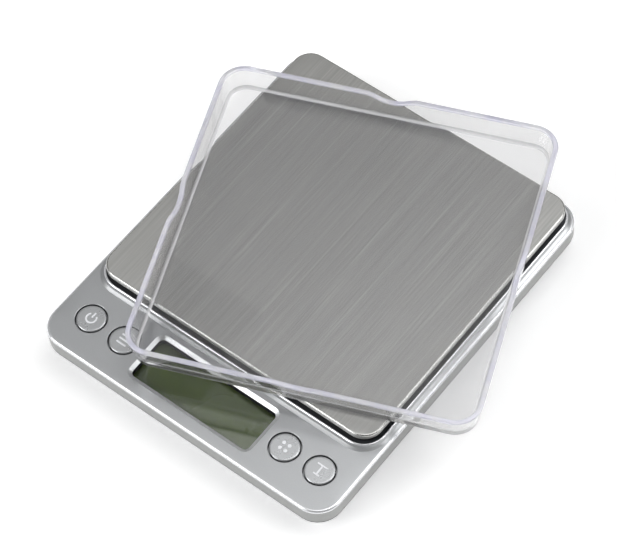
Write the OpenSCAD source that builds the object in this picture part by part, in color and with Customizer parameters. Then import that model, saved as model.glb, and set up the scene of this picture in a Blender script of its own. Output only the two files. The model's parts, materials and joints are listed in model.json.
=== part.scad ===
// Pocket gram scale: a slim silvered case with a front key panel and display, a square
// stainless platform on a load cell, and a loose clear tray lying on the platform.
// Origin: on the table, under the middle of the whole object's box, tray and case together.
// +X runs right along the keys and +Y runs to the back. The modules below are drawn about the
// centre of the case, and placed() moves them to the origin.

/* [Case] */
// Width of the case across the keys
case_w = 106; // [105:0.5:108]
// Depth of the case from key edge to back edge
case_d = 127; // [126:0.5:130]
// Radius of the case corners in plan
case_r = 8; // [7:0.5:9]
// Height of the key panel above the table
panel_z = 14; // [14:0.1:14.4]
// Height of the joint between the upper and lower case
parting_z = 7.7; // [7.5:0.1:8]
// Height of the bottom face, which is the height of the feet
bottom_z = 1.4; // [1.4:0.1:1.6]
// How far the lower case tapers in between the joint and the bottom face
taper = 6; // [5.5:0.1:6.2]
// Wall thickness of the two shells
wall = 2; // [1.8:0.1:2]

/* [Platform] */
// Width of the square stainless plate
plate_w = 99.8; // [99:0.1:100]
// Radius of the plate corners
plate_r = 6; // [5:0.5:7]
// Height of the plate's top above the table
plate_z = 19.2; // [19.2:0.1:19.6]
// Depth of the plate's turned-down edge
plate_rim = 1.8; // [1.6:0.1:2]
// Distance of the plate's centre behind the case's centre
plate_y = 11.7; // [11.5:0.1:11.8]
// Gap between the plate and the lip around it
plate_gap = 0.5; // [0.4:0.05:0.6]
// Height of the lip above the key panel
lip_h = 1.4; // [1.3:0.1:1.5]
// Travel of the platform to its overload stop
platform_travel = 0.3; // [0.2:0.05:0.35]

/* [Keys] */
// Diameter of a key cap
key_d = 9; // [8.6:0.1:9.2]
// Gap round a key cap
key_gap = 0.4; // [0.3:0.05:0.45]
// Distance of the inner keys from the middle
key_inner_x = 29.7; // [29.5:0.1:30]
// Distance of the outer keys from the middle
key_outer_x = 42.2; // [42:0.1:42.4]
// Distance of the key row in front of the case's centre
key_y = 50.9; // [50.7:0.1:51.1]
// Travel of a key
key_travel = 0.5; // [0.3:0.05:0.5]

/* [Display] */
// Width of the glass seen through the window
window_w = 42.8; // [42:0.1:43]
// Depth of the glass seen through the window
window_d = 14.7; // [14.2:0.1:14.8]
// Radius of the window corners
window_r = 1.6; // [1:0.1:2]
// Width of the sloping edge round the window
bevel_w = 1.1; // [0.9:0.1:1.2]
// Depth of the lens below the key panel
lens_depth = 2.9; // [2.6:0.1:3]

/* [Tray] */
// Width of the square tray across its rim
tray_w = 105; // [103:0.5:106]
// Height of the tray
tray_h = 9; // [8.5:0.1:11]
// Thickness of the tray's walls and floor
tray_wall = 1.6; // [1.2:0.1:1.8]
// How much narrower the tray's foot is than its rim
tray_draft = 2.4; // [2:0.2:4]
// Radius of the tray's rim corners
tray_r = 8; // [6:0.5:9]
// Length of the finger dip in the middle of each side
dip_l = 13; // [10:0.5:16]
// Depth of the finger dip
dip_depth = 1.6; // [1:0.1:2.5]
// Turn of the tray on the platform
tray_turn = 21.8; // [0:0.2:45]
// Place of the tray's centre, right of the middle
tray_x = 6.4; // [0:0.1:7]
// Place of the tray's centre, behind the middle
tray_y = 8.4; // [6:0.1:12]

/* [Hidden] */

$fn = 64;
tiny = 0.02;
silver = [0.66, 0.67, 0.68];
black = [0.10, 0.10, 0.11];

// key panel and its inside
panel_t = 2;
panel_under = panel_z - panel_t;
edge_round = 0.75;
lip_z = panel_z + lip_h;
lip_top_w = 0.55;
lip_foot_w = 1.6;
lip_corner = plate_r + 1;
recess_half = plate_w / 2 + plate_gap;
recess_floor = panel_z + 0.6;
recess_under = recess_floor - 1.3;

// keys: name order is power, mode, count, tare
key_xs = [-key_outer_x, -key_inner_x, key_inner_x, key_outer_x];
key_hole_r = key_d / 2 + key_gap;
key_top = panel_z + 0.1;
flange_r = 5.2;
flange_top = panel_under - 0.2;
flange_t = 1;
glyph_h = 0.25;

// display stack: a black frame with a bezel in the panel's seat holds the lens and the glass
bevel_h = 0.75;
bezel_top = panel_z - 1;
bezel_w = window_w + 3.4;
bezel_d = window_d + 2.6;
bezel_r = window_r + 1.7;
frame_half = 24;
cavity_half = 23.1;
glass_half = 23;
lens_top = panel_z - lens_depth;
lens_t = 0.95;
lens_w = window_w + 3;
lens_d = window_d + 2;
glass_top = lens_top - lens_t - 0.05;
glass_t = 2.2;

// board and switches
board_w = 92;
board_d = 16;
board_y = -50;
board_z = 4.8;
board_t = 1.6;
board_top = board_z + board_t;
post_x = 36;
post_dy = 6.3;
switch_w = 6;
switch_h = 3.4;
plunger_z = board_top + 2.3;
plunger_top = flange_top - flange_t - tiny;
pocket_z = plunger_z - key_travel - 0.2;

// lower shell
floor_t = 1.4;
floor_z = bottom_z + floor_t;
slope_wall = 1.8;
foot_r = 4.5;
foot_x = 39;
foot_y = 50;
foot_pocket = 0.6;

// case screws
case_screw_xy = [[-41, -35], [41, -35], [-41, 41], [41, 41]];
screw_seat = 4;
post_top = 8.2;

// load cell: an aluminium bar along X under the plate's centre
cell_l = 47;
cell_w = 12;
cell_h = 6;
cell_z = 4.3;
cell_top = cell_z + cell_h;
cell_screw_xs = [-20, -13];
carrier_screw_xs = [13, 20];
spacer_t = 1;
boss_z = cell_top + spacer_t;
boss_l = 14;
boss_w = 11;
boss_x = 16.5;
overload_x = 16.5;
overload_top = cell_z - platform_travel - 0.1;
carrier_hole_r = 1.6;
carrier_screw_r = 1.48;

// platform stack
plate_t = 0.7;
carrier_half = plate_w / 2 - 0.9;
carrier_top = plate_z - plate_t - 0.2;
carrier_z = recess_floor + platform_travel + 0.3;
carrier_skin = 1.5;
rib_t = 1.4;

// battery bay along X behind the load cell
aaa_r = 5.2;
aaa_l = 43.3;
aaa_z = 2.75 + aaa_r;
aaa_front_y = 29.5;
aaa_rear_y = 40.5;
bay_half = 26.5;
bay_y0 = 23.7;
bay_y1 = 46.3;
bay_wall = 1.4;
bay_top = 12.6;
tag_z = aaa_z - 2;
door_gap = 0.3;
door_ledge = 0.7;
door_half = bay_half + door_ledge - door_gap;
door_y0 = bay_y0 - door_ledge + door_gap;
door_y1 = bay_y1 + door_ledge - door_gap;
door_t = 1.2;
tab_x = 15;
tab_w = 6;

// routes of the leads, from the parts they leave to the board's top
gauge_lead_route = [[-8, 5.6, 7.2], [-8.6, 1, 6.4], [-10, -6, 5.2], [-12, -18, 4.6],
    [-12, -30, 4.2], [-11, -38, 4.2], [-10.6, -43.4, 4.3]];
battery_lead_route = [[-30.6, 30, 7.4], [-32, 24, 6.5], [-33.4, 14, 5], [-33.4, -10, 4.6],
    [-31, -26, 4.8], [-27.6, -36, 6.6], [-26.6, -43.2, 6.95]];

// tray
tray_reach = (tray_w / 2 - tray_r) * (cos(tray_turn) + sin(tray_turn)) + tray_r;
box_x0 = min(-case_w / 2, tray_x - tray_reach);
box_x1 = max(case_w / 2, tray_x + tray_reach);
box_y0 = min(-case_d / 2, tray_y - tray_reach);
box_y1 = max(case_d / 2, tray_y + tray_reach);
tray_floor_z = plate_z + tiny;
tray_foot_w = tray_w - tray_draft;
dip_r = (dip_l * dip_l / 4 + dip_depth * dip_depth) / (2 * dip_depth);

// ---------- helpers ----------

// moves a sub-part from the case's centre to the object's origin
module placed() {
    translate([-(box_x0 + box_x1) / 2, -(box_y0 + box_y1) / 2, 0]) children();
}

// square with round corners, centred
module round_square(w, d, r) {
    union() {
        square([w - 2 * r, d], center = true);
        square([w, d - 2 * r], center = true);
        for (x = [-1, 1], y = [-1, 1])
            translate([x * (w / 2 - r), y * (d / 2 - r)]) circle(r);
    }
}

// upright prism of a round-cornered square, from z0 to z1
module slab(w, d, r, z0, z1) {
    translate([0, 0, z0]) linear_extrude(z1 - z0) round_square(w, d, r);
}

// the case outline drawn in by a margin, from z0 to z1
module case_slab(inset, z0, z1) {
    slab(case_w - 2 * inset, case_d - 2 * inset, max(case_r - inset, 1), z0, z1);
}

// a square slab about the plate's centre
module plate_slab(half, r, z0, z1) {
    translate([0, plate_y, 0]) slab(2 * half, 2 * half, r, z0, z1);
}

// an upright box given by its low and high corners
module block(low, high) {
    translate(low) cube(high - low);
}

// upright cylinder from z0 to z1
module rod(r, z0, z1) {
    translate([0, 0, z0]) cylinder(r = r, h = z1 - z0);
}

// screw pointing up from its head, with a cross recess in the head's outer face
module screw(head_r, head_h, shank_r, length) {
    difference() {
        union() {
            cylinder(r = head_r, h = head_h);
            translate([0, 0, head_h - tiny]) cylinder(r = shank_r, h = length + tiny);
        }
        for (turn = [0, 90])
            rotate(turn) translate([-0.75 * head_r, -0.2 * head_r, -1])
                cube([1.5 * head_r, 0.4 * head_r, 1 + 0.55 * head_h]);
    }
}

// points of a smooth curve through hand-chosen points (Catmull-Rom)
function curve_point(a, b, c, d, t) = 0.5 * (2 * b + (c - a) * t
    + (2 * a - 5 * b + 4 * c - d) * t * t + (3 * b - a - 3 * c + d) * t * t * t);
function curve(p, steps) = let (last = len(p) - 1)
    [for (i = [0 : last - 1], s = [0 : steps - 1])
        curve_point(p[max(i - 1, 0)], p[i], p[i + 1], p[min(i + 2, last)], s / steps),
     p[last]];

// tube swept along points, with its rings kept upright
module tube(path, r, sides) {
    last = len(path) - 1;
    rings = [for (i = [0 : last])
        let (ahead = path[min(i + 1, last)] - path[max(i - 1, 0)],
             along = ahead / norm(ahead),
             across = cross(along, [0, 0, 1]),
             side = across / norm(across),
             rise = cross(side, along))
        [for (k = [0 : sides - 1])
            path[i] + r * (cos(360 * k / sides) * side + sin(360 * k / sides) * rise)]];
    polyhedron(points = [for (ring = rings) for (point = ring) point],
        faces = concat(
            [[for (k = [0 : sides - 1]) sides - 1 - k]],
            [[for (k = [0 : sides - 1]) last * sides + k]],
            [for (i = [0 : last - 1], k = [0 : sides - 1])
                let (a = i * sides + k, b = i * sides + (k + 1) % sides)
                [a, b, b + sides, a + sides]]));
}

// ---------- case ----------

module upper_case() {
    color(silver) difference() {
        union() {
            difference() {
                union() {
                    hull($fn = 32) {
                        case_slab(0.25, parting_z, parting_z + 0.6);
                        case_slab(0, parting_z + 0.8, panel_z - edge_round);
                        case_slab(edge_round, panel_z - 0.05, panel_z);
                    }
                    lip_rim();
                }
                case_slab(wall, parting_z - 1, panel_under);
                plate_slab(recess_half - 1.4, lip_corner - 1.4, parting_z, recess_under);
                plate_slab(recess_half, lip_corner, recess_floor, lip_z + 1);
            }
            for (at = case_screw_xy)
                translate([at.x, at.y, 0]) rod(2.8, post_top + tiny, recess_under + tiny);
        }
        for (at = case_screw_xy)
            translate([at.x, at.y, 0]) rod(1.02, post_top - 1, recess_under - 0.6);
        for (x = key_xs)
            translate([x, -key_y, 0]) rod(key_hole_r, panel_under - 1, panel_z + 1);
        translate([0, -key_y, 0]) window_cut();
        block([boss_x - boss_l / 2 - 1.5, plate_y - boss_w / 2 - 1.5, recess_under - 1],
            [boss_x + boss_l / 2 + 1.5, plate_y + boss_w / 2 + 1.5, recess_floor + 1]);
    }
}

// raised lip round the platform, falling outward to the panel
module lip_rim() {
    intersection() {
        hull($fn = 32) {
            plate_slab(recess_half + lip_foot_w, lip_corner + lip_foot_w, panel_z - 0.5, panel_z);
            plate_slab(recess_half + lip_top_w, lip_corner + lip_top_w, lip_z - 0.05, lip_z);
        }
        case_slab(edge_round, panel_z - 1, lip_z + 1);
    }
}

// window through the panel: sloping edge, straight land, and a seat for the bezel below
module window_cut() {
    hull($fn = 32) {
        slab(window_w, window_d, window_r, panel_z - bevel_h, panel_z - bevel_h + 0.01);
        slab(window_w + 2 * bevel_w, window_d + 2 * bevel_w, window_r + bevel_w,
            panel_z, panel_z + 0.01);
    }
    slab(window_w, window_d, window_r, panel_under - 1, panel_z);
    slab(bezel_w + 0.2, bezel_d + 0.2, bezel_r + 0.1, panel_under - 1, bezel_top + tiny);
}

module lower_case() {
    color(silver) difference() {
        union() {
            difference() {
                tapered_tub(0.15, bottom_z, parting_z);
                tapered_tub(0.15 + slope_wall, floor_z, parting_z + tiny);
                block([-bay_half - door_ledge, bay_y0 - door_ledge, 0],
                    [bay_half + door_ledge, bay_y1 + door_ledge, floor_z + 1]);
            }
            joint_tongue();
            bay_walls();
            for (at = case_screw_xy)
                translate([at.x, at.y, 0]) rod(3.6, bottom_z, post_top);
            for (x = [-post_x, post_x], y = [-post_dy, post_dy])
                translate([x, board_y + y, 0]) rod(2.2, bottom_z + 1, board_z - tiny);
            block([-cell_l / 2 - 0.5, plate_y - cell_w / 2, bottom_z],
                [-9.5, plate_y + cell_w / 2, cell_z - tiny]);
            translate([overload_x, plate_y, 0]) rod(3, bottom_z, floor_z + 0.5);
        }
        for (at = case_screw_xy) translate([at.x, at.y, 0]) {
            rod(2.6, bottom_z - 1, screw_seat);
            rod(1.25, bottom_z, post_top + 1);
        }
        for (x = [-post_x, post_x], y = [-post_dy, post_dy])
            translate([x, board_y + y, 0]) rod(0.92, floor_z + 0.2, board_z + 1);
        for (x = cell_screw_xs) translate([x, plate_y, 0]) {
            rod(2.7, bottom_z - 1, bottom_z + 1.3);
            rod(1.3, bottom_z, cell_z + 1);
        }
        translate([overload_x, plate_y, 0]) rod(1.52, bottom_z - 1, floor_z + 1);
        block([-6, bay_y0 - 2.4, 0], [6, bay_y0 + 1, 5.6]);
        for (x = [-foot_x, foot_x], y = [-foot_y, foot_y])
            translate([x, y, 0]) rod(foot_r + 0.1, bottom_z - 1, bottom_z + foot_pocket);
    }
}

// the tapering body of the lower case, drawn in by a margin
module tapered_tub(inset, z0, z1) {
    slope = taper / (parting_z - bottom_z);
    hull($fn = 32) {
        case_slab(inset, z1 - 0.02, z1);
        case_slab(inset + taper - slope * (z0 - bottom_z), z0, z0 + 0.02);
    }
}

// thin wall that locates the upper case on the lower one
module joint_tongue() {
    difference() {
        case_slab(wall + 0.15, parting_z - 1.4, parting_z + 1.2);
        case_slab(wall + 1.15, parting_z - 2, parting_z + 2);
    }
}

// walls of the battery bay, with slots for the door's tongues and for the contacts' tags
module bay_walls() {
    difference() {
        block([-bay_half - bay_wall, bay_y0 - bay_wall, floor_z - 0.1],
            [bay_half + bay_wall, bay_y1 + bay_wall, bay_top]);
        block([-bay_half, bay_y0, 0], [bay_half, bay_y1, bay_top + 1]);
        for (x = [-tab_x, tab_x])
            block([x - tab_w / 2 - 0.5, bay_y1 - 1, 0], [x + tab_w / 2 + 0.5, bay_y1 + 2, 5]);
        for (y = [aaa_front_y, aaa_rear_y])
            block([-bay_half - bay_wall - 1, y - 1.2, tag_z - 0.2],
                [-bay_half + 1, y + 1.2, tag_z + 0.6]);
    }
    block([-bay_half - 0.1, 33.9, bay_top - 0.58], [bay_half + 0.1, 36.1, bay_top]);
}

// rubber foot with a rounded edge, standing on the table
module foot(x, y) {
    color(black) translate([x, y, 0]) rotate_extrude() union() {
        translate([0, 0.5]) square([foot_r, bottom_z + foot_pocket - 0.5 - tiny]);
        square([foot_r - 0.5, 0.6]);
        intersection() {
            translate([foot_r - 0.5, 0.5]) circle(0.5);
            translate([foot_r - 0.5, 0]) square(0.5);
        }
    }
}

module case_screws() {
    color("silver") for (at = case_screw_xy)
        translate([at.x, at.y, screw_seat - 1.4]) screw(2.3, 1.4 - tiny, 1, 7.6);
}

// ---------- display ----------

module display_lens() {
    color([0.75, 0.8, 0.82, 0.4]) translate([0, -key_y, 0])
        slab(lens_w, lens_d, window_r + 1.2, lens_top - lens_t, lens_top);
}

module display_glass() {
    color([0.29, 0.32, 0.24]) translate([0, -key_y, 0]) {
        block([-glass_half, -bezel_d / 2 + 0.3, glass_top - glass_t / 2],
            [glass_half, bezel_d / 2 - 0.3, glass_top]);
        block([-glass_half, -bezel_d / 2 + 2, glass_top - glass_t],
            [glass_half, bezel_d / 2 - 0.3, glass_top - glass_t / 2 - tiny]);
    }
}

module display_frame() {
    color(black) translate([0, -key_y, 0]) difference() {
        union() {
            slab(bezel_w, bezel_d, bezel_r, lens_top, bezel_top);
            block([-frame_half, -bezel_d / 2 - 0.5, board_top],
                [frame_half, bezel_d / 2 + 0.3, panel_under - tiny]);
        }
        slab(window_w, window_d, window_r, lens_top - 1, bezel_top + 1);
        block([-cavity_half, -bezel_d / 2 + 0.2, board_top - 1],
            [cavity_half, bezel_d / 2 - 0.2, lens_top + tiny]);
    }
}

module zebra_strips() {
    color([0.55, 0.35, 0.45]) translate([0, -key_y, 0])
        block([-22.5, -bezel_d / 2 + 0.4, board_top + tiny],
            [22.5, -bezel_d / 2 + 1.9, glass_top - glass_t / 2 - tiny]);
}

module backlight() {
    color([0.92, 0.93, 0.9]) translate([0, -key_y, 0]) difference() {
        block([-22.6, -bezel_d / 2 + 2.2, board_top + 0.2],
            [22.6, bezel_d / 2 - 0.4, glass_top - glass_t - tiny]);
        block([21, -2, board_top], [glass_half, 2, board_top + 0.9]);
    }
}

// ---------- board ----------

module main_board() {
    color([0.08, 0.30, 0.16]) difference() {
        translate([0, board_y, 0]) slab(board_w, board_d, 1, board_z, board_top);
        for (x = [-post_x, post_x], y = [-post_dy, post_dy])
            translate([x, board_y + y, 0]) rod(1.2, board_z - 1, board_top + 1);
    }
}

// small parts soldered under the board
module board_parts() {
    under = board_z - tiny;
    color([0.15, 0.14, 0.13]) {
        for (x = [-30 : 6 : -18]) block([x, -47.6, under - 0.7], [x + 2, -46.3, under]);
        for (x = [-30 : 6 : -18]) block([x, -53.6, under - 0.6], [x + 1.6, -52.8, under]);
        for (x = [14 : 5 : 29]) block([x, -52, under - 0.7], [x + 2, -50.8, under]);
        block([-12.4, -48, under - 1.2], [-7.6, -44, under]);
    }
    color("silver") block([20, -47, under - 1.5], [27, -44.6, under]);
}

module controller_blob() {
    color(black) translate([0, board_y - 1.5, board_z - tiny]) mirror([0, 0, 1]) rotate_extrude()
        polygon([[0, 0], [5.2, 0], [4.6, 0.6], [3.2, 1], [1.6, 1.2], [0, 1.25]]);
}

module switch_body(x) {
    color([0.16, 0.16, 0.17]) translate([x, -key_y, 0]) difference() {
        block([-switch_w / 2, -switch_w / 2, board_top + tiny],
            [switch_w / 2, switch_w / 2, board_top + switch_h]);
        rod(1.85, pocket_z, board_top + switch_h + 1);
    }
    color("silver") translate([x, -key_y, 0]) for (dx = [-1, 1], dy = [-1, 1])
        block([dx * (switch_w / 2 + 0.55) - 0.5, dy * 2.25 - 0.35, board_top + tiny],
            [dx * (switch_w / 2 + 0.55) + 0.5, dy * 2.25 + 0.35, board_top + 0.6]);
}

module switch_plunger(x) {
    color([0.3, 0.28, 0.25]) translate([x, -key_y, 0]) rod(1.75, plunger_z, plunger_top);
}

module board_screws() {
    color("silver") for (x = [-post_x, post_x], y = [-post_dy, post_dy])
        translate([x, board_y + y, board_top + 1.1]) mirror([0, 0, 1]) screw(1.8, 1.1 - tiny, 0.9, 2.9);
}

// ---------- keys ----------

// cap with a rounded edge above a holding flange; its sign is the child shape
module key_cap(x) {
    cap_r = key_d / 2;
    edge = 0.35;
    color([0.70, 0.71, 0.72]) translate([x, -key_y, 0]) {
        rotate_extrude() union() {
            translate([0, flange_top - flange_t]) square([flange_r, flange_t]);
            translate([0, flange_top - 0.1]) square([cap_r, key_top - edge - flange_top + 0.1]);
            translate([0, key_top - edge - 0.01]) square([cap_r - edge, edge + 0.01]);
            intersection() {
                translate([cap_r - edge, key_top - edge]) circle(edge);
                translate([cap_r - edge, key_top - edge]) square(edge);
            }
        }
        translate([0, 0, key_top - 0.1]) linear_extrude(glyph_h + 0.1) children();
    }
}

// open ring with a bar: the on and off sign
module power_sign() {
    difference() {
        circle(1.55);
        circle(1.1);
        translate([-0.6, 0.3]) square([1.2, 2]);
    }
    translate([-0.22, 0.15]) square([0.44, 1.7]);
}

// three bars of equal length: change of unit
module mode_sign() {
    for (y = [-1.2, 0, 1.2]) translate([-1.5, y - 0.22]) square([3, 0.44]);
}

// four dots: counting pieces
module count_sign() {
    for (x = [-0.85, 0.85], y = [-0.85, 0.85]) translate([x, y]) circle(0.5);
}

// level beam on a post with a foot: bring the balance to zero
module tare_sign() {
    translate([-1.6, 1.1]) square([3.2, 0.44]);
    translate([-0.22, -1.5]) square([0.44, 2.7]);
    translate([-0.9, -1.6]) square([1.8, 0.44]);
}

// ---------- load cell ----------

module load_cell() {
    color([0.78, 0.79, 0.8]) translate([0, plate_y, 0]) difference() {
        block([-cell_l / 2, -cell_w / 2, cell_z], [cell_l / 2, cell_w / 2, cell_top]);
        for (x = [-4.5, 4.5])
            translate([x, 0, cell_z + cell_h / 2]) rotate([90, 0, 0])
                cylinder(r = 2.3, h = cell_w + 2, center = true);
        block([-4.5, -cell_w / 2 - 1, cell_z + cell_h / 2 - 0.8],
            [4.5, cell_w / 2 + 1, cell_z + cell_h / 2 + 0.8]);
        for (x = cell_screw_xs) translate([x, 0, 0]) rod(1.25, cell_z - 1, cell_top + 1);
        for (x = carrier_screw_xs) translate([x, 0, 0]) rod(carrier_hole_r, cell_z - 1, cell_top + 1);
    }
}

// silicone over the strain gauges, on the top and the bottom of the bar
module gauge_covers() {
    color([0.93, 0.93, 0.9]) for (z = [cell_z - 0.62, cell_top + tiny])
        translate([0, plate_y, 0]) slab(16, 8, 1.5, z, z + 0.6);
}

module cell_screws() {
    color("silver") for (x = cell_screw_xs)
        translate([x, plate_y, bottom_z + 0.1]) screw(2.5, 1.2 - tiny, 1.2, 6.6);
}

module overload_screw() {
    color("dimgray") translate([overload_x, plate_y, 0]) difference() {
        rod(1.5, bottom_z + 0.3, overload_top);
        for (turn = [0, 60, 120]) rotate(turn)
            block([-0.85, -0.49, 0], [0.85, 0.49, bottom_z + 1.3]);
    }
}

// washer plate between the bar's free end and the carrier's boss
module load_spacer() {
    color("silver") difference() {
        translate([boss_x, plate_y, 0]) slab(13, 10, 1, cell_top, boss_z);
        for (x = carrier_screw_xs)
            translate([x, plate_y, 0]) rod(carrier_hole_r, cell_top - 1, boss_z + 1);
    }
}

// four leads from the gauges to the board, side by side
module gauge_lead(order, paint) {
    offset = [1.2 * (order - 1.5), 0, 0];
    color(paint) tube([for (point = curve(gauge_lead_route, 4)) point + offset], 0.45, 8);
}

// two leads from the battery contacts to the board, side by side
module battery_lead(order, paint) {
    offset = [1.3 * order, 0, 0];
    color(paint) tube([for (point = curve(battery_lead_route, 4)) point + offset], 0.5, 8);
}

// ---------- battery bay ----------

// cell along X; its raised pole points to +X when dir is 1
module aaa_cell(y, dir) {
    translate([0, y, aaa_z]) rotate([0, 90 * dir, 0]) {
        color([0.25, 0.27, 0.3]) rotate_extrude() union() {
            translate([0, -aaa_l / 2 + 0.3]) square([aaa_r, aaa_l - 0.9]);
            translate([0, -aaa_l / 2]) square([aaa_r - 0.9, aaa_l]);
            translate([0, aaa_l / 2 - 0.1]) square([1.9, 0.9]);
        }
    }
}

// conical spring as a tube along a rising, widening helix
module cone_spring() {
    turns = 3.4;
    rings = 48;
    wire = 0.32;
    path = [for (i = [0 : rings])
        let (t = i / rings, a = 360 * turns * t, r = 3.6 - 1.7 * t)
        [r * cos(a), r * sin(a), 0.4 + 3.55 * t]];
    tube(path, wire, 6);
}

module contact_springs() {
    color("silver") {
        translate([-bay_half + 0.45, aaa_front_y, aaa_z]) rotate([0, 90, 0]) cone_spring();
        translate([bay_half - 0.45, aaa_rear_y, aaa_z]) rotate([0, -90, 0]) cone_spring();
    }
}

module contact_plates() {
    color("silver") {
        for (y = [aaa_front_y, aaa_rear_y])
            block([-bay_half + 0.02, y - 4.4, aaa_z - 4], [-bay_half + 0.42, y + 4.4, aaa_z + 4]);
        block([bay_half - 0.42, aaa_front_y - 4.4, aaa_z - 4],
            [bay_half - 0.02, aaa_rear_y + 4.4, aaa_z + 4]);
        translate([-bay_half + 0.4, aaa_rear_y, aaa_z]) rotate([0, 90, 0]) cylinder(r = 2, h = 3.6);
        translate([bay_half - 4, aaa_front_y, aaa_z]) rotate([0, 90, 0]) cylinder(r = 2, h = 3.6);
        for (y = [aaa_front_y, aaa_rear_y])
            block([-bay_half - 3.2, y - 0.9, tag_z], [-bay_half + 0.1, y + 0.9, tag_z + 0.4]);
    }
}

// door flush with the bottom, hinged on two tongues at its back edge
module battery_door() {
    tab_y0 = door_y1 - 0.9;
    color(silver) {
        difference() {
            block([-door_half, door_y0, bottom_z], [door_half, door_y1, bottom_z + door_t]);
            for (x = [-4.5 : 1.5 : 4.5])
                block([x - 0.3, door_y0 + 3, bottom_z - 1], [x + 0.3, door_y0 + 8, bottom_z + 0.4]);
            for (x = [-5.4, 4.9])
                block([x, door_y0 - 1, bottom_z - 1], [x + 0.5, door_y0 + 9, bottom_z + 2]);
        }
        for (x = [-tab_x, tab_x]) {
            block([x - tab_w / 2, tab_y0, bottom_z + 0.4], [x + tab_w / 2, door_y1, floor_z + 0.9]);
            block([x - tab_w / 2, tab_y0, floor_z + 0.15],
                [x + tab_w / 2, door_y1 + 1.6, floor_z + 0.9]);
        }
        block([-4, door_y0 + 0.2, bottom_z + 0.6], [4, door_y0 + 1.2, floor_z + 1.9]);
        block([-4, door_y0 - 0.5, floor_z + 1.1], [4, door_y0 + 0.4, floor_z + 1.9]);
    }
}

// ---------- platform ----------

module platform_carrier() {
    color(black) difference() {
        union() {
            difference() {
                plate_slab(carrier_half, plate_r - 0.9, carrier_z, carrier_top);
                plate_slab(carrier_half - 1.6, plate_r - 2.5, carrier_z - 1, carrier_top - carrier_skin);
            }
            for (at = [-24, 0, 24]) {
                block([-carrier_half + 0.5, plate_y + at - rib_t / 2, carrier_z + 0.4],
                    [carrier_half - 0.5, plate_y + at + rib_t / 2, carrier_top - 0.5]);
                block([at - rib_t / 2, plate_y - carrier_half + 0.5, carrier_z + 0.4],
                    [at + rib_t / 2, plate_y + carrier_half - 0.5, carrier_top - 0.5]);
            }
            block([boss_x - boss_l / 2, plate_y - boss_w / 2, boss_z + tiny],
                [boss_x + boss_l / 2, plate_y + boss_w / 2, carrier_top - 0.5]);
        }
        for (x = carrier_screw_xs) translate([x, plate_y, 0]) {
            rod(carrier_hole_r, boss_z - 1, carrier_top + 1);
            rod(3, carrier_top - 2, carrier_top + 1);
        }
    }
}

module carrier_screws() {
    color("silver") for (x = carrier_screw_xs)
        translate([x, plate_y, carrier_top - 0.4]) mirror([0, 0, 1])
            screw(2.8, 1.6 - tiny, carrier_screw_r, 11);
}

module plate_tape() {
    color([0.85, 0.85, 0.82]) difference() {
        plate_slab(carrier_half - 1, plate_r - 2, carrier_top + tiny, plate_z - plate_t - tiny);
        translate([boss_x, plate_y, 0]) slab(20, 10, 2, carrier_top - 1, plate_z);
    }
}

module platform_plate() {
    color([0.56, 0.56, 0.54]) difference() {
        hull($fn = 32) {
            plate_slab(plate_w / 2, plate_r, plate_z - plate_rim, plate_z - 0.6);
            plate_slab(plate_w / 2 - 0.2, plate_r - 0.2, plate_z - 0.6, plate_z - 0.2);
            plate_slab(plate_w / 2 - 0.6, plate_r - 0.6, plate_z - 0.05, plate_z);
        }
        plate_slab(plate_w / 2 - plate_t, plate_r - plate_t, plate_z - plate_rim - 1, plate_z - plate_t);
    }
}

// ---------- tray ----------

// square frustum with round corners, widening upward
module tray_form(foot_w, rim_w, r_foot, r_rim, z0, z1) {
    hull($fn = 48) {
        slab(foot_w, foot_w, r_foot, z0, z0 + 0.02);
        slab(rim_w, rim_w, r_rim, z1 - 0.02, z1);
    }
}

// open clear tray with a finger dip in the middle of each side
module clear_tray() {
    top = tray_floor_z + tray_h;
    inner_z = tray_floor_z + tray_wall;
    lost = tray_draft * (tray_h - tray_wall) / tray_h;
    color([0.85, 0.87, 0.9, 0.35]) translate([tray_x, tray_y, 0]) rotate(tray_turn) difference() {
        hull($fn = 48) {
            slab(tray_foot_w - 1, tray_foot_w - 1, tray_r - 2, tray_floor_z, tray_floor_z + 0.02);
            slab(tray_foot_w + 0.2, tray_foot_w + 0.2, tray_r - 1.4,
                tray_floor_z + 0.7, tray_floor_z + 0.8);
            slab(tray_w, tray_w, tray_r, top - 0.02, top);
        }
        tray_form(tray_w - 2 * tray_wall - lost, tray_w - 2 * tray_wall, tray_r - 3, tray_r - tray_wall,
            inner_z, top + 0.02);
        for (turn = [0, 90])
            translate([0, 0, top - dip_depth + dip_r]) rotate([90, 0, turn])
                cylinder(r = dip_r, h = tray_w + 10, center = true);
    }
}

placed() upper_case();
placed() lower_case();
placed() display_lens();
placed() display_glass();
placed() display_frame();
placed() zebra_strips();
placed() backlight();
placed() main_board();
placed() board_parts();
placed() controller_blob();
placed() switch_body(key_xs[0]);  // switch_power
placed() switch_body(key_xs[1]);  // switch_mode
placed() switch_body(key_xs[2]);  // switch_count
placed() switch_body(key_xs[3]);  // switch_tare
placed() switch_plunger(key_xs[0]);  // plunger_power
placed() switch_plunger(key_xs[1]);  // plunger_mode
placed() switch_plunger(key_xs[2]);  // plunger_count
placed() switch_plunger(key_xs[3]);  // plunger_tare
placed() key_cap(key_xs[0]) power_sign();  // key_power
placed() key_cap(key_xs[1]) mode_sign();  // key_mode
placed() key_cap(key_xs[2]) count_sign();  // key_count
placed() key_cap(key_xs[3]) tare_sign();  // key_tare
placed() load_cell();
placed() gauge_covers();
placed() cell_screws();
placed() overload_screw();
placed() load_spacer();
placed() gauge_lead(0, "red");  // gauge_lead_red
placed() gauge_lead(1, "black");  // gauge_lead_black
placed() gauge_lead(2, "green");  // gauge_lead_green
placed() gauge_lead(3, "white");  // gauge_lead_white
placed() battery_lead(0, "red");  // battery_lead_red
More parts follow.
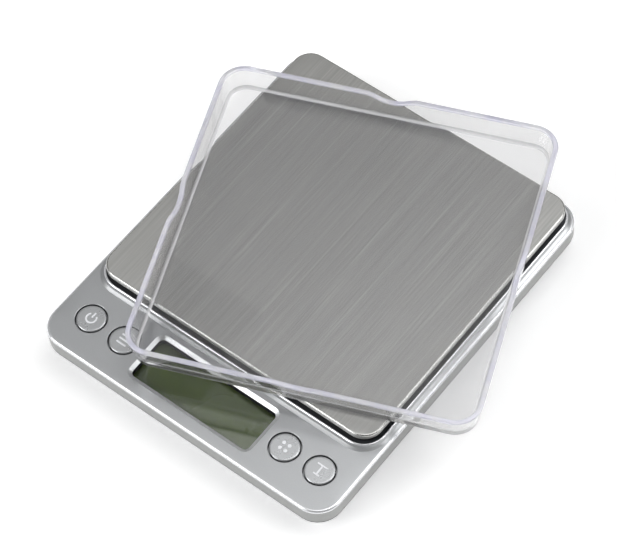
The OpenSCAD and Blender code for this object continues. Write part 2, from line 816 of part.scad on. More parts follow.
placed() battery_lead(1, "black");  // battery_lead_black
placed() aaa_cell(aaa_rear_y, -1);  // aaa_cell_rear
placed() aaa_cell(aaa_front_y, 1);  // aaa_cell_front
placed() contact_springs();
placed() contact_plates();
placed() battery_door();
placed() foot(-foot_x, -foot_y);  // foot_front_left
placed() foot(foot_x, -foot_y);  // foot_front_right
placed() foot(-foot_x, foot_y);  // foot_rear_left
placed() foot(foot_x, foot_y);  // foot_rear_right
placed() case_screws();
placed() board_screws();
placed() platform_carrier();
placed() carrier_screws();
placed() plate_tape();
placed() platform_plate();
placed() clear_tray();
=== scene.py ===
"""Looks of the pocket gram scale: silvered case, stainless platform, keys, display and clear tray."""
import json
import math

import bmesh
import bpy
from mathutils import Matrix, Vector


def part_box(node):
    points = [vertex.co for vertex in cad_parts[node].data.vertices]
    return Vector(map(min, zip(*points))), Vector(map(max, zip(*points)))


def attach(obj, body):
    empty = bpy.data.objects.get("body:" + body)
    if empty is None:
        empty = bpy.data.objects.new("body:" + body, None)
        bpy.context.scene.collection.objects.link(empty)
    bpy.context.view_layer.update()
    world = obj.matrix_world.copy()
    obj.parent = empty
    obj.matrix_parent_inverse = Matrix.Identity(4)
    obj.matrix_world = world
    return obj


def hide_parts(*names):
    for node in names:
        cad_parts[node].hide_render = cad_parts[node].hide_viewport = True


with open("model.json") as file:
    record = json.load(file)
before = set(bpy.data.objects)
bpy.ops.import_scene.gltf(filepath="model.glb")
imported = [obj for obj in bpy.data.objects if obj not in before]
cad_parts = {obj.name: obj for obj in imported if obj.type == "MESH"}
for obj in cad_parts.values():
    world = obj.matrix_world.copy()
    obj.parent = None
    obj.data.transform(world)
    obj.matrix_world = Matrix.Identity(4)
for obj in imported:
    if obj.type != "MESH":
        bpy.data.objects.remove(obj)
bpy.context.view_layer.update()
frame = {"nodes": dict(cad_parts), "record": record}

MM = 0.001
NODES = frame["nodes"]


def box_mm(node):
    """A CAD node's lowest and highest corners in millimetres."""
    low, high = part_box(node)
    return low / MM, high / MM


# ---------- places taken from the frame, in millimetres ----------
case_low, case_high = box_mm("upper_case")
plate_low, plate_high = box_mm("platform_plate")
tray_low, tray_high = box_mm("clear_tray")
lens_low, lens_high = box_mm("display_lens")

CX = (case_low.x + case_high.x) / 2
CY = (case_low.y + case_high.y) / 2
CASE_W = case_high.x - case_low.x
CASE_D = case_high.y - case_low.y
CASE_R = 8.0
PARTING_Z = case_low.z
LIP_Z = case_high.z
LIP_H = 1.4
PANEL_Z = LIP_Z - LIP_H
PANEL_T = 2.0
EDGE_R = 0.75

PLATE_X = (plate_low.x + plate_high.x) / 2
PLATE_Y = (plate_low.y + plate_high.y) / 2
PLATE_HALF = (plate_high.x - plate_low.x) / 2
PLATE_R = 6.0
PLATE_T = 0.7
PLATE_GAP = 0.5
RECESS_HALF = PLATE_HALF + PLATE_GAP
RECESS_FLOOR = PANEL_Z + 0.6
RECESS_UNDER = RECESS_FLOOR - 1.3

KEY_NAMES = ("power", "mode", "count", "tare")
KEY_D = 9.0
KEY_GAP = 0.4

WINDOW_W = lens_high.x - lens_low.x - 3.0
WINDOW_D = lens_high.y - lens_low.y - 2.0
WINDOW_Y = (lens_low.y + lens_high.y) / 2
BEVEL_W = 1.1

TRAY_TURN = math.radians(21.8)
TRAY_X = (tray_low.x + tray_high.x) / 2
TRAY_Y = (tray_low.y + tray_high.y) / 2
TRAY_R = 8.0
TRAY_WALL = 1.6
TRAY_DRAFT = 1.2
TRAY_HALF = ((tray_high.x - tray_low.x) / 2 - TRAY_R) / (math.cos(TRAY_TURN) + math.sin(TRAY_TURN)) + TRAY_R


# ---------- mesh helpers: everything is drawn in millimetres ----------
def rounded(x0, x1, y0, y1, radii, z, corner_steps=10, side_cuts=0):
    """Points round a round-cornered rectangle, anticlockwise from the front left corner.
    radii is one radius, or four: front left, front right, back right, back left."""
    if not isinstance(radii, (tuple, list)):
        radii = (radii,) * 4
    corners = ((x0, y0, 1, 1, 180), (x1, y0, -1, 1, 270), (x1, y1, -1, -1, 0), (x0, y1, 1, -1, 90))
    arcs = []
    for (x, y, sx, sy, start), r in zip(corners, radii):
        arc = []
        for i in range(corner_steps + 1):
            a = math.radians(start + 90 * i / corner_steps)
            arc.append(Vector((x + sx * r + r * math.cos(a), y + sy * r + r * math.sin(a), z)))
        arcs.append(arc)
    points = []
    for i, arc in enumerate(arcs):
        points += arc
        ahead = arcs[(i + 1) % 4][0]
        points += [arc[-1].lerp(ahead, k / (side_cuts + 1)) for k in range(1, side_cuts + 1)]
    return points


def circle(x, y, r, z, steps=48):
    """Points round a circle, anticlockwise."""
    turns = (2 * math.pi * i / steps for i in range(steps))
    return [Vector((x + r * math.cos(a), y + r * math.sin(a), z)) for a in turns]


def fillet(inset0, z0, inset1, z1, steps=6, hollow=False):
    """(inset, z) pairs of a quarter round from one point to the other; hollow bends the other way."""
    pairs = []
    for i in range(steps + 1):
        a = math.pi / 2 * i / steps
        s, c = math.sin(a), 1 - math.cos(a)
        u, v = (s, c) if hollow else (c, s)
        pairs.append((inset0 + (inset1 - inset0) * u, z0 + (z1 - z0) * v))
    return pairs


class Form:
    """A mesh built from rings of points joined by strips and closed by flat fills."""

    def __init__(self):
        self.bm = bmesh.new()
        self.paint = 0

    def ring(self, points):
        return [self.bm.verts.new(p) for p in points]

    def strip(self, a, b):
        n = len(a)
        for i in range(n):
            face = self.bm.faces.new((a[i], a[(i + 1) % n], b[(i + 1) % n], b[i]))
            face.material_index = self.paint

    def strips(self, outlines):
        """Joins a list of outlines one after the other and returns the first and last rings."""
        rings = [self.ring(points) for points in outlines]
        for a, b in zip(rings, rings[1:]):
            self.strip(a, b)
        return rings[0], rings[-1]

    def bands(self, outlines, paints):
        """Like strips, each strip in its own paint."""
        rings = [self.ring(points) for points in outlines]
        for a, b, self.paint in zip(rings, rings[1:], paints):
            self.strip(a, b)
        self.paint = 0
        return rings[0], rings[-1]

    def fill(self, outer, holes=()):
        """A flat face inside one ring, with holes."""
        if not holes:
            self.bm.faces.new(outer).material_index = self.paint
            return
        edges = []
        for loop in (outer, *holes):
            for i, vert in enumerate(loop):
                edge = self.bm.edges.get((vert, loop[(i + 1) % len(loop)]))
                edges.append(edge or self.bm.edges.new((vert, loop[(i + 1) % len(loop)])))
        made = bmesh.ops.triangle_fill(self.bm, use_beauty=True, use_dissolve=False, edges=edges)
        for face in made["geom"]:
            if isinstance(face, bmesh.types.BMFace):
                face.material_index = self.paint

    def lathe(self, x, y, profile, steps=48):
        """A closed turned form: profile is (radius, z) pairs from axis to axis."""
        first, last = self.strips([circle(x, y, r, z, steps) for r, z in profile])
        self.fill(first)
        self.fill(last)

    def prism(self, outline, z0, z1, edge):
        """An upright prism of an anticlockwise outline, its top edge rounded."""
        def shrunk(by):
            n = len(outline)
            out = []
            for i, p in enumerate(outline):
                before = (p - outline[i - 1]).normalized()
                after = (outline[(i + 1) % n] - p).normalized()
                normal = Vector((-(before.y + after.y), before.x + after.x))
                normal.normalize()
                square = Vector((-after.y, after.x))
                out.append(p + normal * by / max(normal.dot(square), 0.5))
            return out
        layers = [(0, z0), (0, z1 - edge), (0.3 * edge, z1 - 0.3 * edge), (edge, z1)]
        first, last = self.strips([[Vector((p.x, p.y, z)) for p in shrunk(by)] for by, z in layers])
        self.fill(first)
        self.fill(last)

    def build(self, name, material, sharp=40, turn=None):
        """Makes the object, in metres, with even shading over flats and rounds."""
        bmesh.ops.recalc_face_normals(self.bm, faces=self.bm.faces)
        if turn:
            bmesh.ops.transform(self.bm, matrix=turn, verts=self.bm.verts)
        bmesh.ops.scale(self.bm, vec=(MM, MM, MM), verts=self.bm.verts)
        flat_map = self.bm.loops.layers.uv.new("plan")
        for face in self.bm.faces:
            face.smooth = True
            for loop in face.loops:
                loop[flat_map].uv = (loop.vert.co.x, loop.vert.co.y)
        mesh = bpy.data.meshes.new(name)
        self.bm.to_mesh(mesh)
        self.bm.free()
        mesh.set_sharp_from_angle(angle=math.radians(sharp))
        mesh.materials.append(material)
        obj = bpy.data.objects.new(name, mesh)
        bpy.context.scene.collection.objects.link(obj)
        shading = obj.modifiers.new("even_shading", "WEIGHTED_NORMAL")
        shading.keep_sharp = True
        shading.weight = 80
        return obj


# ---------- material helpers ----------
class Paint:
    """A node material: a Principled shader, with patterns in object space linked to its sockets."""

    def __init__(self, name, **values):
        self.material = bpy.data.materials.new(name)
        self.material.use_nodes = True
        self.tree = self.material.node_tree
        self.shader = self.tree.nodes["Principled BSDF"]
        for socket, value in values.items():
            self.shader.inputs[socket.replace("_", " ")].default_value = value
        self.place = self.tree.nodes.new("ShaderNodeTexCoord").outputs["Object"]

    def node(self, kind, links=(), **settings):
        made = self.tree.nodes.new(kind)
        for key, value in settings.items():
            setattr(made, key, value)
        for socket, source in dict(links).items():
            if isinstance(source, bpy.types.NodeSocket):
                self.tree.links.new(source, made.inputs[socket])
            else:
                made.inputs[socket].default_value = source
        return made

    def stretched(self, scale):
        """Object coordinates with a scale for each axis."""
        return self.node("ShaderNodeMapping", {"Vector": self.place, "Scale": scale}).outputs["Vector"]

    def noise(self, scale, detail=3.0, roughness=0.55, where=None):
        """Noise from 0 to 1; scale is in cells per metre."""
        return self.node("ShaderNodeTexNoise", {
            "Vector": where or self.place, "Scale": scale, "Detail": detail, "Roughness": roughness,
        }).outputs["Fac"]

    def span(self, source, low, high, start=0.3, stop=0.7):
        """Maps start..stop of a pattern onto low..high."""
        return self.node("ShaderNodeMapRange", {
            "Value": source, "From Min": start, "From Max": stop, "To Min": low, "To Max": high,
        }).outputs["Result"]

    def blend(self, factor, first, second):
        """Mixes two colours, or a colour and a pattern's colour, by a pattern."""
        mix = self.node("ShaderNodeMix", data_type="RGBA")
        sockets = [s for s in mix.inputs if s.type == "RGBA"]
        self.tree.links.new(factor, mix.inputs["Factor"])
        for socket, source in zip(sockets, (first, second)):
            if isinstance(source, bpy.types.NodeSocket):
                self.tree.links.new(source, socket)
            else:
                socket.default_value = (*source, 1)
        return next(s for s in mix.outputs if s.type == "RGBA")

    def colour(self, source):
        self.tree.links.new(source, self.shader.inputs["Base Color"])

    def rough(self, source):
        self.tree.links.new(source, self.shader.inputs["Roughness"])

    def bump(self, height, distance, strength=1.0):
        """Bump; distance is in metres. A second call adds to the first."""
        socket = self.shader.inputs["Normal"]
        links = {"Height": height, "Distance": distance, "Strength": strength}
        if socket.is_linked:
            links["Normal"] = socket.links[0].from_socket
        self.tree.links.new(self.node("ShaderNodeBump", links).outputs["Normal"], socket)


def moulded(name, base, rough=0.5, vary=0.06, grain=9000, depth=6e-6, **values):
    """Moulded or painted plastic and rubber: mottled colour, uneven gloss and a fine skin."""
    paint = Paint(name, **values)
    broad = paint.noise(60, 4)
    fine = paint.noise(grain, 2)
    dark = tuple(c * (1 - vary) for c in base)
    light = tuple(min(1, c * (1 + vary)) for c in base)
    paint.colour(paint.blend(paint.span(broad, 0, 1), dark, light))
    paint.rough(paint.span(paint.noise(400, 5), rough - 0.06, rough + 0.06))
    paint.bump(fine, depth)
    return paint.material


def worn_metal(name, base, rough=0.3, streak=(1, 1, 1), grain=3000, depth=4e-6, vary=0.12, **values):
    """Plain metal: streaks or grain in colour, gloss and relief."""
    paint = Paint(name, Metallic=1.0, **values)
    lines = paint.noise(grain, 4, 0.65, paint.stretched(streak))
    dark = tuple(c * (1 - vary) for c in base)
    paint.colour(paint.blend(paint.span(lines, 0, 1), dark, base))
    paint.rough(paint.span(lines, rough - 0.08, rough + 0.1))
    paint.bump(lines, depth)
    return paint.material


def silver_paint(name, base=(0.47, 0.48, 0.49), rough=0.30):
    """Satin silver paint on ABS: a fine metal flake, faint mottling and a soft skin."""
    paint = Paint(name, Metallic=0.72)
    sparkle = paint.span(paint.noise(3500, 2), 0, 1)
    mottle = paint.span(paint.noise(35, 5), 0, 1)
    light = tuple(c * 1.05 for c in base)
    dark = tuple(c * 0.95 for c in base)
    soft = paint.blend(mottle, tuple(c * 0.985 for c in base), base)
    paint.colour(paint.blend(sparkle, light, paint.blend(mottle, dark, soft)))
    paint.rough(paint.span(paint.noise(250, 3), rough - 0.012, rough + 0.015))
    paint.bump(paint.noise(2200, 1), 8e-7, 0.5)
    return paint.material


def brushed_steel():
    """Stainless sheet brushed in straight lines from front to back."""
    paint = Paint("brushed_stainless", Metallic=1.0, Anisotropic=0.5)
    hair = paint.noise(1, 5, 0.75, paint.stretched((9000, 50, 9000)))
    line = paint.noise(1, 4, 0.8, paint.stretched((1300, 15, 1300)))
    band = paint.noise(1, 3, 0.5, paint.stretched((240, 6, 240)))
    scratch = paint.noise(1, 2, 0.5, paint.stretched((1800, 22, 1800)))
    fine = paint.blend(paint.span(hair, 0, 1), (0.35, 0.35, 0.335), (0.44, 0.44, 0.425))
    drawn = paint.blend(paint.span(line, 0, 1, 0.3, 0.7), fine, (0.53, 0.53, 0.515))
    toned = paint.blend(paint.span(band, 0, 0.5), drawn, (0.45, 0.445, 0.43))
    paint.colour(paint.blend(paint.span(scratch, 0, 0.4, 0.56, 0.76), toned, (0.68, 0.67, 0.65)))
    paint.rough(paint.span(line, 0.34, 0.385))
    paint.bump(hair, 3e-6, 0.8)
    paint.bump(line, 4e-6, 0.6)
    tangent = paint.node("ShaderNodeTangent", direction_type="UV_MAP", uv_map="plan")
    paint.tree.links.new(tangent.outputs["Tangent"], paint.shader.inputs["Tangent"])
    return paint.material


def clear_plastic(name, tint=(0.88, 0.88, 0.885), rough=0.02, ior=1.25, ripple=4e-6, transmission=1.0,
                  coat=0.0):
    """Clear moulded polystyrene: see-through, glossy, with faint flow marks."""
    paint = Paint(name, IOR=ior, Transmission_Weight=transmission, Coat_Weight=coat, Coat_Roughness=0.02)
    cloud = paint.noise(45, 3)
    paint.colour(paint.blend(paint.span(cloud, 0, 1), tint, tuple(c * 0.985 for c in tint)))
    paint.rough(paint.span(paint.noise(300, 3), rough, rough + 0.03))
    paint.bump(paint.noise(90, 2), ripple, 0.5)
    return paint.material


def rim_painted_glow():
    """The tray's rim, which gathers the light of its walls; its pale violet colour is a painted glow of that
    light.
    """
    paint = Paint("rim_painted_glow", IOR=1.35, Transmission_Weight=0.45, Coat_Weight=0.8, Coat_Roughness=0.04)
    glow = paint.noise(160, 3)
    paint.colour(paint.blend(paint.span(glow, 0, 1), (0.80, 0.79, 0.96), (0.96, 0.96, 1.0)))
    paint.rough(paint.span(paint.noise(500, 3), 0.05, 0.12))
    paint.bump(paint.noise(250, 2), 1.5e-5, 0.5)
    return paint.material


def fold_painted_glow():
    """The folds between the tray's walls and floor, where the light inside it comes out; their pale colour is
    a painted glow of that light.
    """
    paint = Paint("fold_painted_glow", IOR=1.25, Transmission_Weight=0.45, Coat_Weight=0.8, Coat_Roughness=0.05)
    glow = paint.noise(200, 3)
    paint.colour(paint.blend(paint.span(glow, 0, 1), (0.88, 0.88, 0.90), (0.97, 0.97, 0.98)))
    paint.rough(paint.span(paint.noise(600, 3), 0.14, 0.26))
    paint.bump(paint.noise(250, 2), 1e-5, 0.5)
    return paint.material


def display_green():
    """Unlit display glass: dark green polariser with a faint grain."""
    paint = Paint("display_green", Roughness=0.25)
    grain = paint.noise(7000, 2)
    cloud = paint.noise(60, 3)
    fine = paint.blend(paint.span(grain, 0, 1), (0.125, 0.165, 0.052), (0.142, 0.185, 0.060))
    paint.colour(paint.blend(paint.span(cloud, 0, 1), fine, (0.132, 0.174, 0.056)))
    paint.rough(paint.span(cloud, 0.22, 0.3))
    paint.bump(grain, 2e-6)
    return paint.material


# ---------- pieces ----------
def case_ring(inset, z):
    """The case outline drawn in by an inset."""
    return rounded(CX - CASE_W / 2 + inset, CX + CASE_W / 2 - inset, CY - CASE_D / 2 + inset,
                   CY + CASE_D / 2 - inset, max(CASE_R - inset, 1.0), z)


def plate_ring(half, radius, z):
    """A square about the plate's centre."""
    return rounded(PLATE_X - half, PLATE_X + half, PLATE_Y - half, PLATE_Y + half, radius, z)


def key_centre(name):
    low, high = box_mm("key_" + name)
    return (low.x + high.x) / 2, (low.y + high.y) / 2


def window_ring(grow, z):
    half_w, half_d = WINDOW_W / 2 + grow, WINDOW_D / 2 + grow
    return rounded(CX - half_w, CX + half_w, WINDOW_Y - half_d, WINDOW_Y + half_d, 1.6 + grow, z, 6)


def upper_case(*materials):
    """Key panel, lip and recess on top, wall outside, hollow inside, as one closed shell."""
    form = Form()
    # paint slots of the case: the wall is in painted shade, the edge and bevel are painted highlights, the
    # recess and key holes are in painted shade
    panel, side_wall_painted_shade, edge, shade, bevel = range(5)
    # the outer wall's strips are painted a darker silver: painted shade
    wall = [(2.0, PARTING_Z), (0.8, PARTING_Z)]
    wall += fillet(0.8, PARTING_Z, 0.0, PARTING_Z + 1.0, hollow=True)[1:]
    wall += [(0.0, PANEL_Z - EDGE_R)]
    upright = len(wall) - 1
    # the rounded top edge is painted a lighter silver: a painted highlight
    wall += fillet(0.0, PANEL_Z - EDGE_R, EDGE_R, PANEL_Z)[1:]
    inside, top_edge = form.bands([case_ring(inset, z) for inset, z in wall],
                                  [side_wall_painted_shade] * upright + [edge] * (len(wall) - 1 - upright))

    # lip: (spread outward, height above the panel) from the panel up and over to the recess
    rise = [(1.0, 0.0), (0.95, 0.02), (0.50, 0.46), (0.31, 1.095), (0.277, 1.185), (0.238, 1.263),
            (0.192, 1.324), (0.143, 1.369), (0.09, 1.394), (0.048, 1.40), (0.012, 1.385), (0.0, 1.30),
            (0.0, 0.75), (-0.02, 0.66), (-0.07, 0.60)]
    front, side, back = 2.1, 1.7, 0.6

    def lip_ring(spread, height):
        return rounded(PLATE_X - RECESS_HALF - side * spread, PLATE_X + RECESS_HALF + side * spread,
                       PLATE_Y - RECESS_HALF - front * spread, PLATE_Y + RECESS_HALF + back * spread,
                       (7 + 1.8 * spread, 7 + 1.8 * spread, 7 + 0.8 * spread, 7 + 0.8 * spread),
                       PANEL_Z + height)

    # the lip's crest strips are painted a lighter silver: a painted highlight
    foot, floor_edge = form.bands([lip_ring(*pair) for pair in rise],
                                  # the strips down into the recess are painted near black: painted shade
                                  [panel] * 3 + [edge] * (len(rise) - 7) + [shade] * 3)

    hole_r = KEY_D / 2 + KEY_GAP
    openings, under = [foot], []
    for name in KEY_NAMES:
        x, y = key_centre(name)
        profile = fillet(hole_r + 0.2, PANEL_Z, hole_r, PANEL_Z - 0.2, 4, hollow=True)
        profile += [(hole_r, PANEL_Z - PANEL_T)]
        # each key hole's inner wall is painted near black: painted shade
        top, bottom = form.bands([circle(x, y, r, z) for r, z in profile],
                                 [panel] * (len(profile) - 2) + [shade])
        openings.append(top)
        under.append(bottom)
    slope = [(BEVEL_W + 0.12, PANEL_Z), (BEVEL_W + 0.03, PANEL_Z - 0.03), (BEVEL_W - 0.05, PANEL_Z - 0.1),
             (0.05, PANEL_Z - 0.7), (0.0, PANEL_Z - 0.78), (0.0, PANEL_Z - 0.98)]
    # the window's bevel is painted a lighter silver: a painted highlight
    top, ledge = form.bands([window_ring(*pair) for pair in slope], [panel] + [bevel] * (len(slope) - 2))
    openings.append(top)
    seat_top, seat_low = form.strips([window_ring(1.6, z) for z in (PANEL_Z - 0.98, PANEL_Z - PANEL_T)])
    form.strip(ledge, seat_top)
    under.append(seat_low)
    form.fill(top_edge, openings)

    # recess floor and the opening for the carrier's boss
    boss_low, boss_high = box_mm("load_spacer")
    gap = [boss_low.x - 2.0, boss_high.x + 2.0, boss_low.y - 2.0, boss_high.y + 2.0, 1.0]
    gap_top, gap_low = form.strips([rounded(*gap, RECESS_FLOOR, 3), rounded(*gap, RECESS_UNDER, 3)])
    # the recess floor is painted near black: painted shade
    form.paint = shade
    form.fill(floor_edge, [gap_top])
    form.paint = panel

    # inside: wall, underside of the panel, and the step up under the platform
    ceiling = form.ring(case_ring(2.0, PANEL_Z - PANEL_T))
    form.strip(inside, ceiling)
    step = RECESS_HALF - 1.4
    step_low, step_top = form.strips([plate_ring(step, 5.6, PANEL_Z - PANEL_T),
                                      plate_ring(step, 5.6, RECESS_UNDER)])
    form.fill(ceiling, under + [step_low])
    form.fill(step_top, [gap_low])
    shell = form.build("upper_case_shell", materials[0], sharp=30)
    for material in materials[1:]:
        shell.data.materials.append(material)
    return shell


def platform_plate(material, bend_material):
    """Stainless sheet with its edge turned down round a small polished bend, painted lighter than the sheet
    as a painted highlight.
    """
    form = Form()
    top, bottom = plate_high.z, plate_low.z
    bend = fillet(0.0, top - 0.6, 0.6, top, 7)[::-1]
    outer = bend + [(0.0, bottom + 0.1), (0.08, bottom)]
    inner = [(PLATE_T - 0.08, bottom), (PLATE_T, bottom + 0.1), (PLATE_T, top - PLATE_T - 0.2),
             (PLATE_T + 0.2, top - PLATE_T)]
    rings = [form.ring(plate_ring(PLATE_HALF - inset, max(PLATE_R - inset, 1), z))
             for inset, z in outer + inner]
    for i, (a, b) in enumerate(zip(rings, rings[1:])):
        # the bend's strips are polished and painted lighter than the sheet: a painted highlight
        form.paint = 1 if i < len(bend) - 1 else 0
        form.strip(a, b)
    form.fill(rings[0])
    form.fill(rings[-1])
    sheet = form.build("platform_sheet", material)
    sheet.data.materials.append(bend_material)
    return sheet


def key_signs(name):
    """Outlines of the raised sign on a key, about its centre."""
    def bar(x0, x1, y0, y1):
        return [p.xy for p in rounded(x0, x1, y0, y1, 0.16, 0, 3)]

    def dot(x, y, r):
        return [p.xy for p in circle(x, y, r, 0, 20)]

    if name == "power":
        outer, inner, opening = 1.6, 1.12, 40
        angles = [math.radians(90 + opening + (360 - 2 * opening) * i / 30) for i in range(31)]
        arc = [Vector((outer * math.cos(a), outer * math.sin(a))) for a in angles]
        arc += [Vector((inner * math.cos(a), inner * math.sin(a))) for a in reversed(angles)]
        return [arc, bar(-0.24, 0.24, 0.2, 1.9)]
    if name == "mode":
        return [bar(-1.5, 1.5, y - 0.24, y + 0.24) for y in (-1.2, 0, 1.2)]
    if name == "count":
        return [dot(x, y, 0.52) for x in (-0.85, 0.85) for y in (-0.85, 0.85)]
    return [bar(-1.6, 1.6, 1.1, 1.56), bar(-0.24, 0.24, -1.2, 1.05), bar(-0.95, 0.95, -1.66, -1.2)]


def key_cap(name, material, sign_material):
    """Round cap with a soft edge, a holding flange below and a raised sign on top."""
    form = Form()
    x, y = key_centre(name)
    low, high = box_mm("key_" + name)
    top = high.z - 0.25
    r = KEY_D / 2
    flange = (high.x - low.x) / 2
    profile = [(flange - 0.1, low.z), (flange, low.z + 0.1), (flange, low.z + 0.9), (flange - 0.1, low.z + 1),
               (r + 0.02, low.z + 1.0), (r, low.z + 1.1), (r, top - 0.42)]
    profile += [(r - inset, z) for inset, z in fillet(0, top - 0.42, 0.42, top, 6)[1:]]
    profile += [(r - 0.75, top + 0.005), (0.4, top + 0.01)]
    form.lathe(x, y, profile, 64)
    # the raised signs are painted a lighter colour: a painted highlight
    form.paint = 1
    for outline in key_signs(name):
        form.prism([p * 1.15 + Vector((x, y)) for p in outline], top - 0.1, high.z, 0.12)
    cap = form.build("key_cap_" + name, material)
    cap.data.materials.append(sign_material)
    return cap


def clear_tray(material, rim_material, fold_material):
    """Low tray with drafted walls, a rounded rim and a finger dip in the middle of each side."""
    form = Form()
    z0, z1 = tray_low.z, tray_high.z
    cuts = 47
    dip_half, dip_drop, dip_in = 6.5, 1.6, 0.6

    def dip(point):
        """0 away from the dips, 1 in the middle of each."""
        along = min(abs(point.x), abs(point.y)) / dip_half
        return max(0.0, 1 - along * along)

    def ring(inset, z, below_rim=None):
        """The tray's outline drawn in by an inset. A rim ring follows the dips, a height below them."""
        points = []
        level = z1 if below_rim is not None else z
        half = TRAY_HALF - inset - TRAY_DRAFT * (z1 - level) / (z1 - z0)
        radius = max(TRAY_R - inset - 0.6 * TRAY_DRAFT * (z1 - level) / (z1 - z0), 0.8)
        for p in rounded(-half, half, -half, half, radius, level, 8, cuts):
            depth = dip(p)
            if below_rim is not None:
                p.z = z1 - below_rim - dip_drop * depth
            fade = max(0.0, min(1.0, (p.z - z0 - 3.0) / (z1 - z0 - 3.0)))
            shrink = 1 - (dip_in * depth * fade + (TRAY_DRAFT * (level - p.z) / (z1 - z0))) / half
            points.append(Vector((p.x * shrink, p.y * shrink, p.z)))
        return points

    floor = z0 + TRAY_WALL
    outside = [ring(1.4, z0), ring(0.95, z0 + 0.05), ring(0.55, z0 + 0.2), ring(0.2, z0 + 0.5),
               ring(0, z0 + 1.0), ring(0, z0 + 3.0), ring(0, z0 + 5.5)]
    rim = [(0.0, 0.6), (0.03, 0.32), (0.16, 0.11), (0.4, 0.0)]
    rim_rings = [ring(inset, 0, drop) for inset, drop in rim]
    rim_rings += [ring(TRAY_WALL - inset, 0, drop) for inset, drop in reversed(rim)]
    inside = [ring(TRAY_WALL, z0 + 5.5), ring(TRAY_WALL, z0 + 4.0), ring(TRAY_WALL, floor + 1.0),
              ring(TRAY_WALL + 0.1, floor + 0.55), ring(TRAY_WALL + 0.35, floor + 0.19),
              ring(TRAY_WALL + 0.7, floor + 0.03), ring(TRAY_WALL + 1.0, floor)]
    rings = [form.ring(points) for points in outside + rim_rings + inside]
    rim_start, rim_stop = len(outside), len(outside) + len(rim_rings) - 1
    for i, (a, b) in enumerate(zip(rings, rings[1:])):
        # the rim strips get the pale violet painted glow
        if rim_start <= i < rim_stop:
            form.paint = 1
        else:
            # the outer foot strips and the inner fold get the pale painted glow
            form.paint = 2 if i < 4 or len(rings) - 5 < i < len(rings) - 2 else 0
        form.strip(a, b)
    form.paint = 0
    form.fill(rings[0])
    form.fill(rings[-1])
    turn = Matrix.Translation((TRAY_X, TRAY_Y, 0)) @ Matrix.Rotation(TRAY_TURN, 4, "Z")
    tray = form.build("tray_shell", material, turn=turn)
    tray.data.materials.append(rim_material)
    tray.data.materials.append(fold_material)
    return tray


# ---------- studio ----------
def softbox(name, place, size, radiance, rotation=None):
    """A rectangular soft light; it faces the object unless a rotation is given."""
    data = bpy.data.lights.new(name, "AREA")
    data.shape = "RECTANGLE"
    data.size, data.size_y = size
    data.energy = radiance * math.pi * size[0] * size[1]
    lamp = bpy.data.objects.new(name, data)
    lamp.location = place
    lamp.rotation_euler = rotation or (-Vector(place)).to_track_quat("-Z", "Y").to_euler()
    bpy.context.scene.collection.objects.link(lamp)


def studio():
    """Pale floor, a grey room, a soft light on each side and four overhead."""
    white = moulded("studio_floor", (0.93, 0.93, 0.93), 0.7, 0.005, grain=900, depth=1e-5,
                     Emission_Color=(1, 1, 1, 1), Emission_Strength=0.28)
    bpy.ops.mesh.primitive_plane_add(size=3)
    floor = bpy.context.object
    floor.name = "studio_ground"
    floor.data.materials.append(white)
    world = bpy.data.worlds.new("studio_room")
    bpy.context.scene.world = world
    world.use_nodes = True
    tree = world.node_tree
    direction = tree.nodes.new("ShaderNodeSeparateXYZ")
    tree.links.new(tree.nodes.new("ShaderNodeTexCoord").outputs["Generated"], direction.inputs["Vector"])
    fall = tree.nodes.new("ShaderNodeMapRange")
    for socket, value in (("From Min", 0.0), ("From Max", 0.7), ("To Min", 0.32), ("To Max", 0.15)):
        fall.inputs[socket].default_value = value
    tree.links.new(direction.outputs["Z"], fall.inputs["Value"])
    tree.links.new(fall.outputs["Result"], tree.nodes["Background"].inputs["Strength"])
    tree.nodes["Background"].inputs["Color"].default_value = (1, 1, 1, 1)
    softbox("softbox_left", (-0.52, -0.85, 0.80), (0.75, 0.65), 5.3)
    softbox("softbox_right", (0.90, 0.53, 0.80), (0.75, 0.65), 3.5)
    softbox("softbox_front", (-0.107, 0.13, 0.90), (0.9, 0.5), 0.75, (0, 0, math.radians(21.8)))
    softbox("softbox_back", (0.16, 0.36, 0.93), (0.62, 0.9), 1.5, (0, 0, 0))
    softbox("softbox_middle", (-0.12, 0.35, 0.92), (0.55, 0.5), 0.35, (0, 0, 0))
    softbox("softbox_far", (-0.55, 0.55, 0.92), (0.35, 0.35), 0.35, (0, 0, 0))


def camera():
    """Looks down from the front right, close to where the picture was taken from."""
    azimuth, elevation, roll = (math.radians(a) for a in (42.07, 57.35, -4.91))
    distance = 813.7
    focal_px, width_px, sensor = 2715.3, 618, 36.0
    aim = Vector((CX - 6.4, CY + 5.5, 0))
    back = Vector((math.sin(azimuth) * math.cos(elevation), -math.cos(azimuth) * math.cos(elevation),
                   math.sin(elevation)))
    level = (-back).cross(Vector((0, 0, 1))).normalized()
    rise = level.cross(-back)
    right = level * math.cos(roll) + rise * math.sin(roll)
    up = -level * math.sin(roll) + rise * math.cos(roll)
    data = bpy.data.cameras.new("camera")
    data.sensor_width = sensor
    data.lens = focal_px / width_px * sensor
    cam = bpy.data.objects.new("camera", data)
    place = (aim + back * distance) * MM
    cam.matrix_world = Matrix((
        (right.x, up.x, back.x, place.x), (right.y, up.y, back.y, place.y),
        (right.z, up.z, back.z, place.z), (0, 0, 0, 1)))
    bpy.context.scene.collection.objects.link(cam)
    bpy.context.scene.camera = cam


def stand_for(piece, body, node):
    """A piece rides on a body and takes a node's place."""
    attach(piece, body)
    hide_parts(node)


# ---------- assembly ----------
camera()
studio()

silver = silver_paint("silver_case")
# polished, and lighter than the sheet: a painted highlight
polished_bend_painted_highlight = worn_metal("polished_bend_painted_highlight", (0.62, 0.62, 0.60), 0.27)
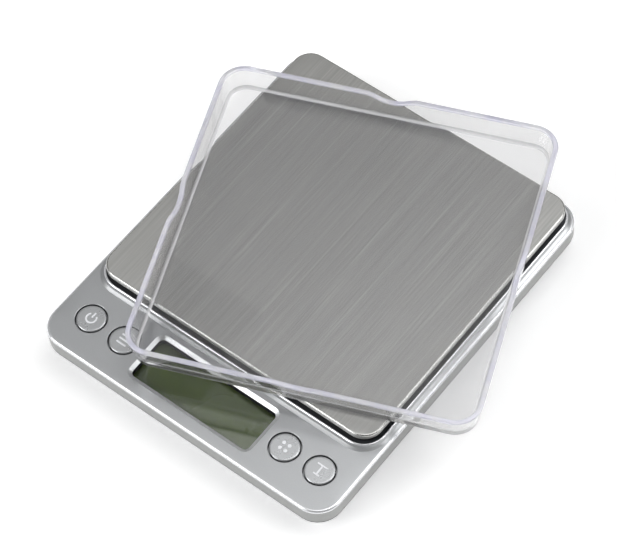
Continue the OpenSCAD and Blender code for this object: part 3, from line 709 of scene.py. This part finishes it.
# the case's wall is painted a darker silver than the panel: painted shade
case_paints = (silver, silver_paint("silver_wall_painted_shade", (0.32, 0.325, 0.32)),
               # the edge silver is lighter: a painted highlight
               silver_paint("silver_edge_painted_highlight", (0.86, 0.87, 0.89), 0.24),
               # near-black silver for the recess and key holes: painted shade
               silver_paint("silver_recess_painted_shade", (0.10, 0.105, 0.115), 0.45),
               # lighter silver for the window bevel: a painted highlight
               silver_paint("silver_bevel_painted_highlight", (0.80, 0.81, 0.82), 0.36))
stand_for(upper_case(*case_paints), "case", "upper_case")
stand_for(platform_plate(brushed_steel(), polished_bend_painted_highlight), "platform", "platform_plate")
key_silver = silver_paint("silver_keys", (0.50, 0.51, 0.52), 0.28)
# the signs' lighter colour is a painted highlight
key_sign_painted_highlight = moulded("key_sign_painted_highlight", (0.86, 0.87, 0.90), 0.35, 0.03)
for key in KEY_NAMES:
    stand_for(key_cap(key, key_silver, key_sign_painted_highlight), "key_" + key, "key_" + key)
# the rim's and folds' pale colours are a painted glow
tray_paints = clear_plastic("clear_styrene", transmission=0.97, coat=0.8), rim_painted_glow(), fold_painted_glow()
stand_for(clear_tray(*tray_paints), "tray", "clear_tray")

FINISHES = {
    "silver_shell": silver,
    "lens_acrylic": clear_plastic("lens_acrylic", (0.96, 0.98, 0.97), 0.0, 1.55, 1e-6),
    "display_liquid": display_green(),
    "black_abs": moulded("black_abs", (0.010, 0.010, 0.013), 0.6, 0.15, Specular_IOR_Level=0.25),
    "zebra_rubber": moulded("zebra_rubber", (0.5, 0.28, 0.36), 0.7),
    "diffuser": moulded("diffuser", (0.85, 0.86, 0.83), 0.5, 0.02),
    "board_green": moulded("board_green", (0.02, 0.15, 0.06), 0.35, 0.15, grain=2500),
    "chip_black": moulded("chip_black", (0.03, 0.03, 0.03), 0.45, 0.2),
    "switch_black": moulded("switch_black", (0.04, 0.04, 0.042), 0.5, 0.15),
    "plunger_black": moulded("plunger_black", (0.15, 0.13, 0.11), 0.5, 0.1),
    "cell_aluminium": worn_metal("milled_aluminium", (0.72, 0.73, 0.74), 0.35, (1, 12, 12), 900),
    "white_silicone": moulded("white_silicone", (0.82, 0.82, 0.78), 0.55, 0.03),
    "zinc_steel": worn_metal("zinc_steel", (0.58, 0.58, 0.55), 0.35),
    "black_steel": worn_metal("black_steel", (0.09, 0.09, 0.10), 0.4),
    "wire_red": moulded("wire_red", (0.45, 0.02, 0.02), 0.45),
    "wire_black": moulded("wire_black", (0.02, 0.02, 0.02), 0.45, 0.2),
    "wire_green": moulded("wire_green", (0.02, 0.22, 0.06), 0.45),
    "wire_white": moulded("wire_white", (0.75, 0.75, 0.72), 0.45, 0.03),
    "cell_wrap": moulded("cell_wrap", (0.08, 0.09, 0.11), 0.3, 0.1),
    "nickel": worn_metal("nickel", (0.66, 0.63, 0.56), 0.28),
    "foot_rubber": moulded("foot_rubber", (0.03, 0.03, 0.032), 0.8, 0.2, grain=4000, depth=2e-5),
    "foam_tape": moulded("foam_tape", (0.75, 0.75, 0.72), 0.9, 0.05, grain=3000, depth=3e-5),
}
slots = {row["node"]: row["material_slot"] for row in frame["record"]["subparts"]}
for node_name, node_object in NODES.items():
    finish = FINISHES.get(slots[node_name])
    if finish:
        node_object.data.materials.clear()
        node_object.data.materials.append(finish)

view = bpy.context.scene.view_settings
view.view_transform = "Standard"
